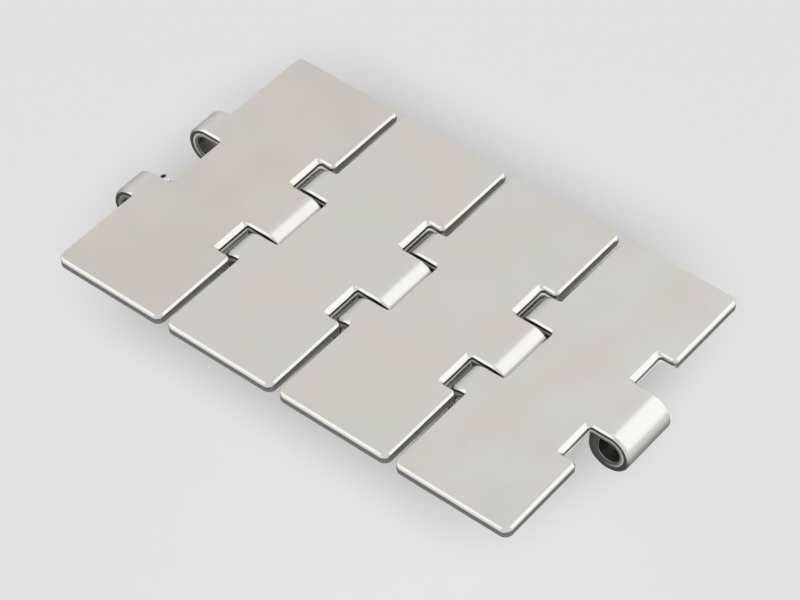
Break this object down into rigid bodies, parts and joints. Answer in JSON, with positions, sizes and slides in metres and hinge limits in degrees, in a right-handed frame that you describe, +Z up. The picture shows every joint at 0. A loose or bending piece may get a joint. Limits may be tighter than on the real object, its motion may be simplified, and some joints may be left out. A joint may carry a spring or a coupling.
{
  "type": "slat top chain",
  "caption": "Flat-topped steel conveyor chain: plain slats with rolled knuckles, joined by hinge pins, with one open eye at its front end and a pair at its rear.",
  "frame": {"origin": "middle of the chain's footprint, at the lowest point of the knuckles", "axes": "+X along the chain, from the end with two open knuckles to the end with one; +Y across the chain; +Z up, out of the carrying face"},
  "size_m": [0.165, 0.1016, 0.0127],
  "materials": {
    "slat_steel": "fine satin, nearly polished, with bright rounded edges",
    "pin_steel": "ground"
  },
  "bodies": {
    "slat_1": {"slat_1": "slat_steel"},
    "slat_2": {"slat_2": "slat_steel", "hinge_pin_1": "pin_steel"},
    "slat_3": {"slat_3": "slat_steel", "hinge_pin_2": "pin_steel"},
    "slat_4": {"slat_4": "slat_steel", "hinge_pin_3": "pin_steel"}
  },
  "joints": [
    {"name": "hinge_1", "type": "hinge", "parent": "slat_1", "child": "slat_2", "pos_m": [-0.0381, 0, 0.00635], "axis": [0, 1, 0], "range_deg": [-14, 75]},
    {"name": "hinge_2", "type": "hinge", "parent": "slat_2", "child": "slat_3", "pos_m": [0, 0, 0.00635], "axis": [0, 1, 0], "range_deg": [-14, 75]},
    {"name": "hinge_3", "type": "hinge", "parent": "slat_3", "child": "slat_4", "pos_m": [0.0381, 0, 0.00635], "axis": [0, 1, 0], "range_deg": [-14, 75]}
  ]
}
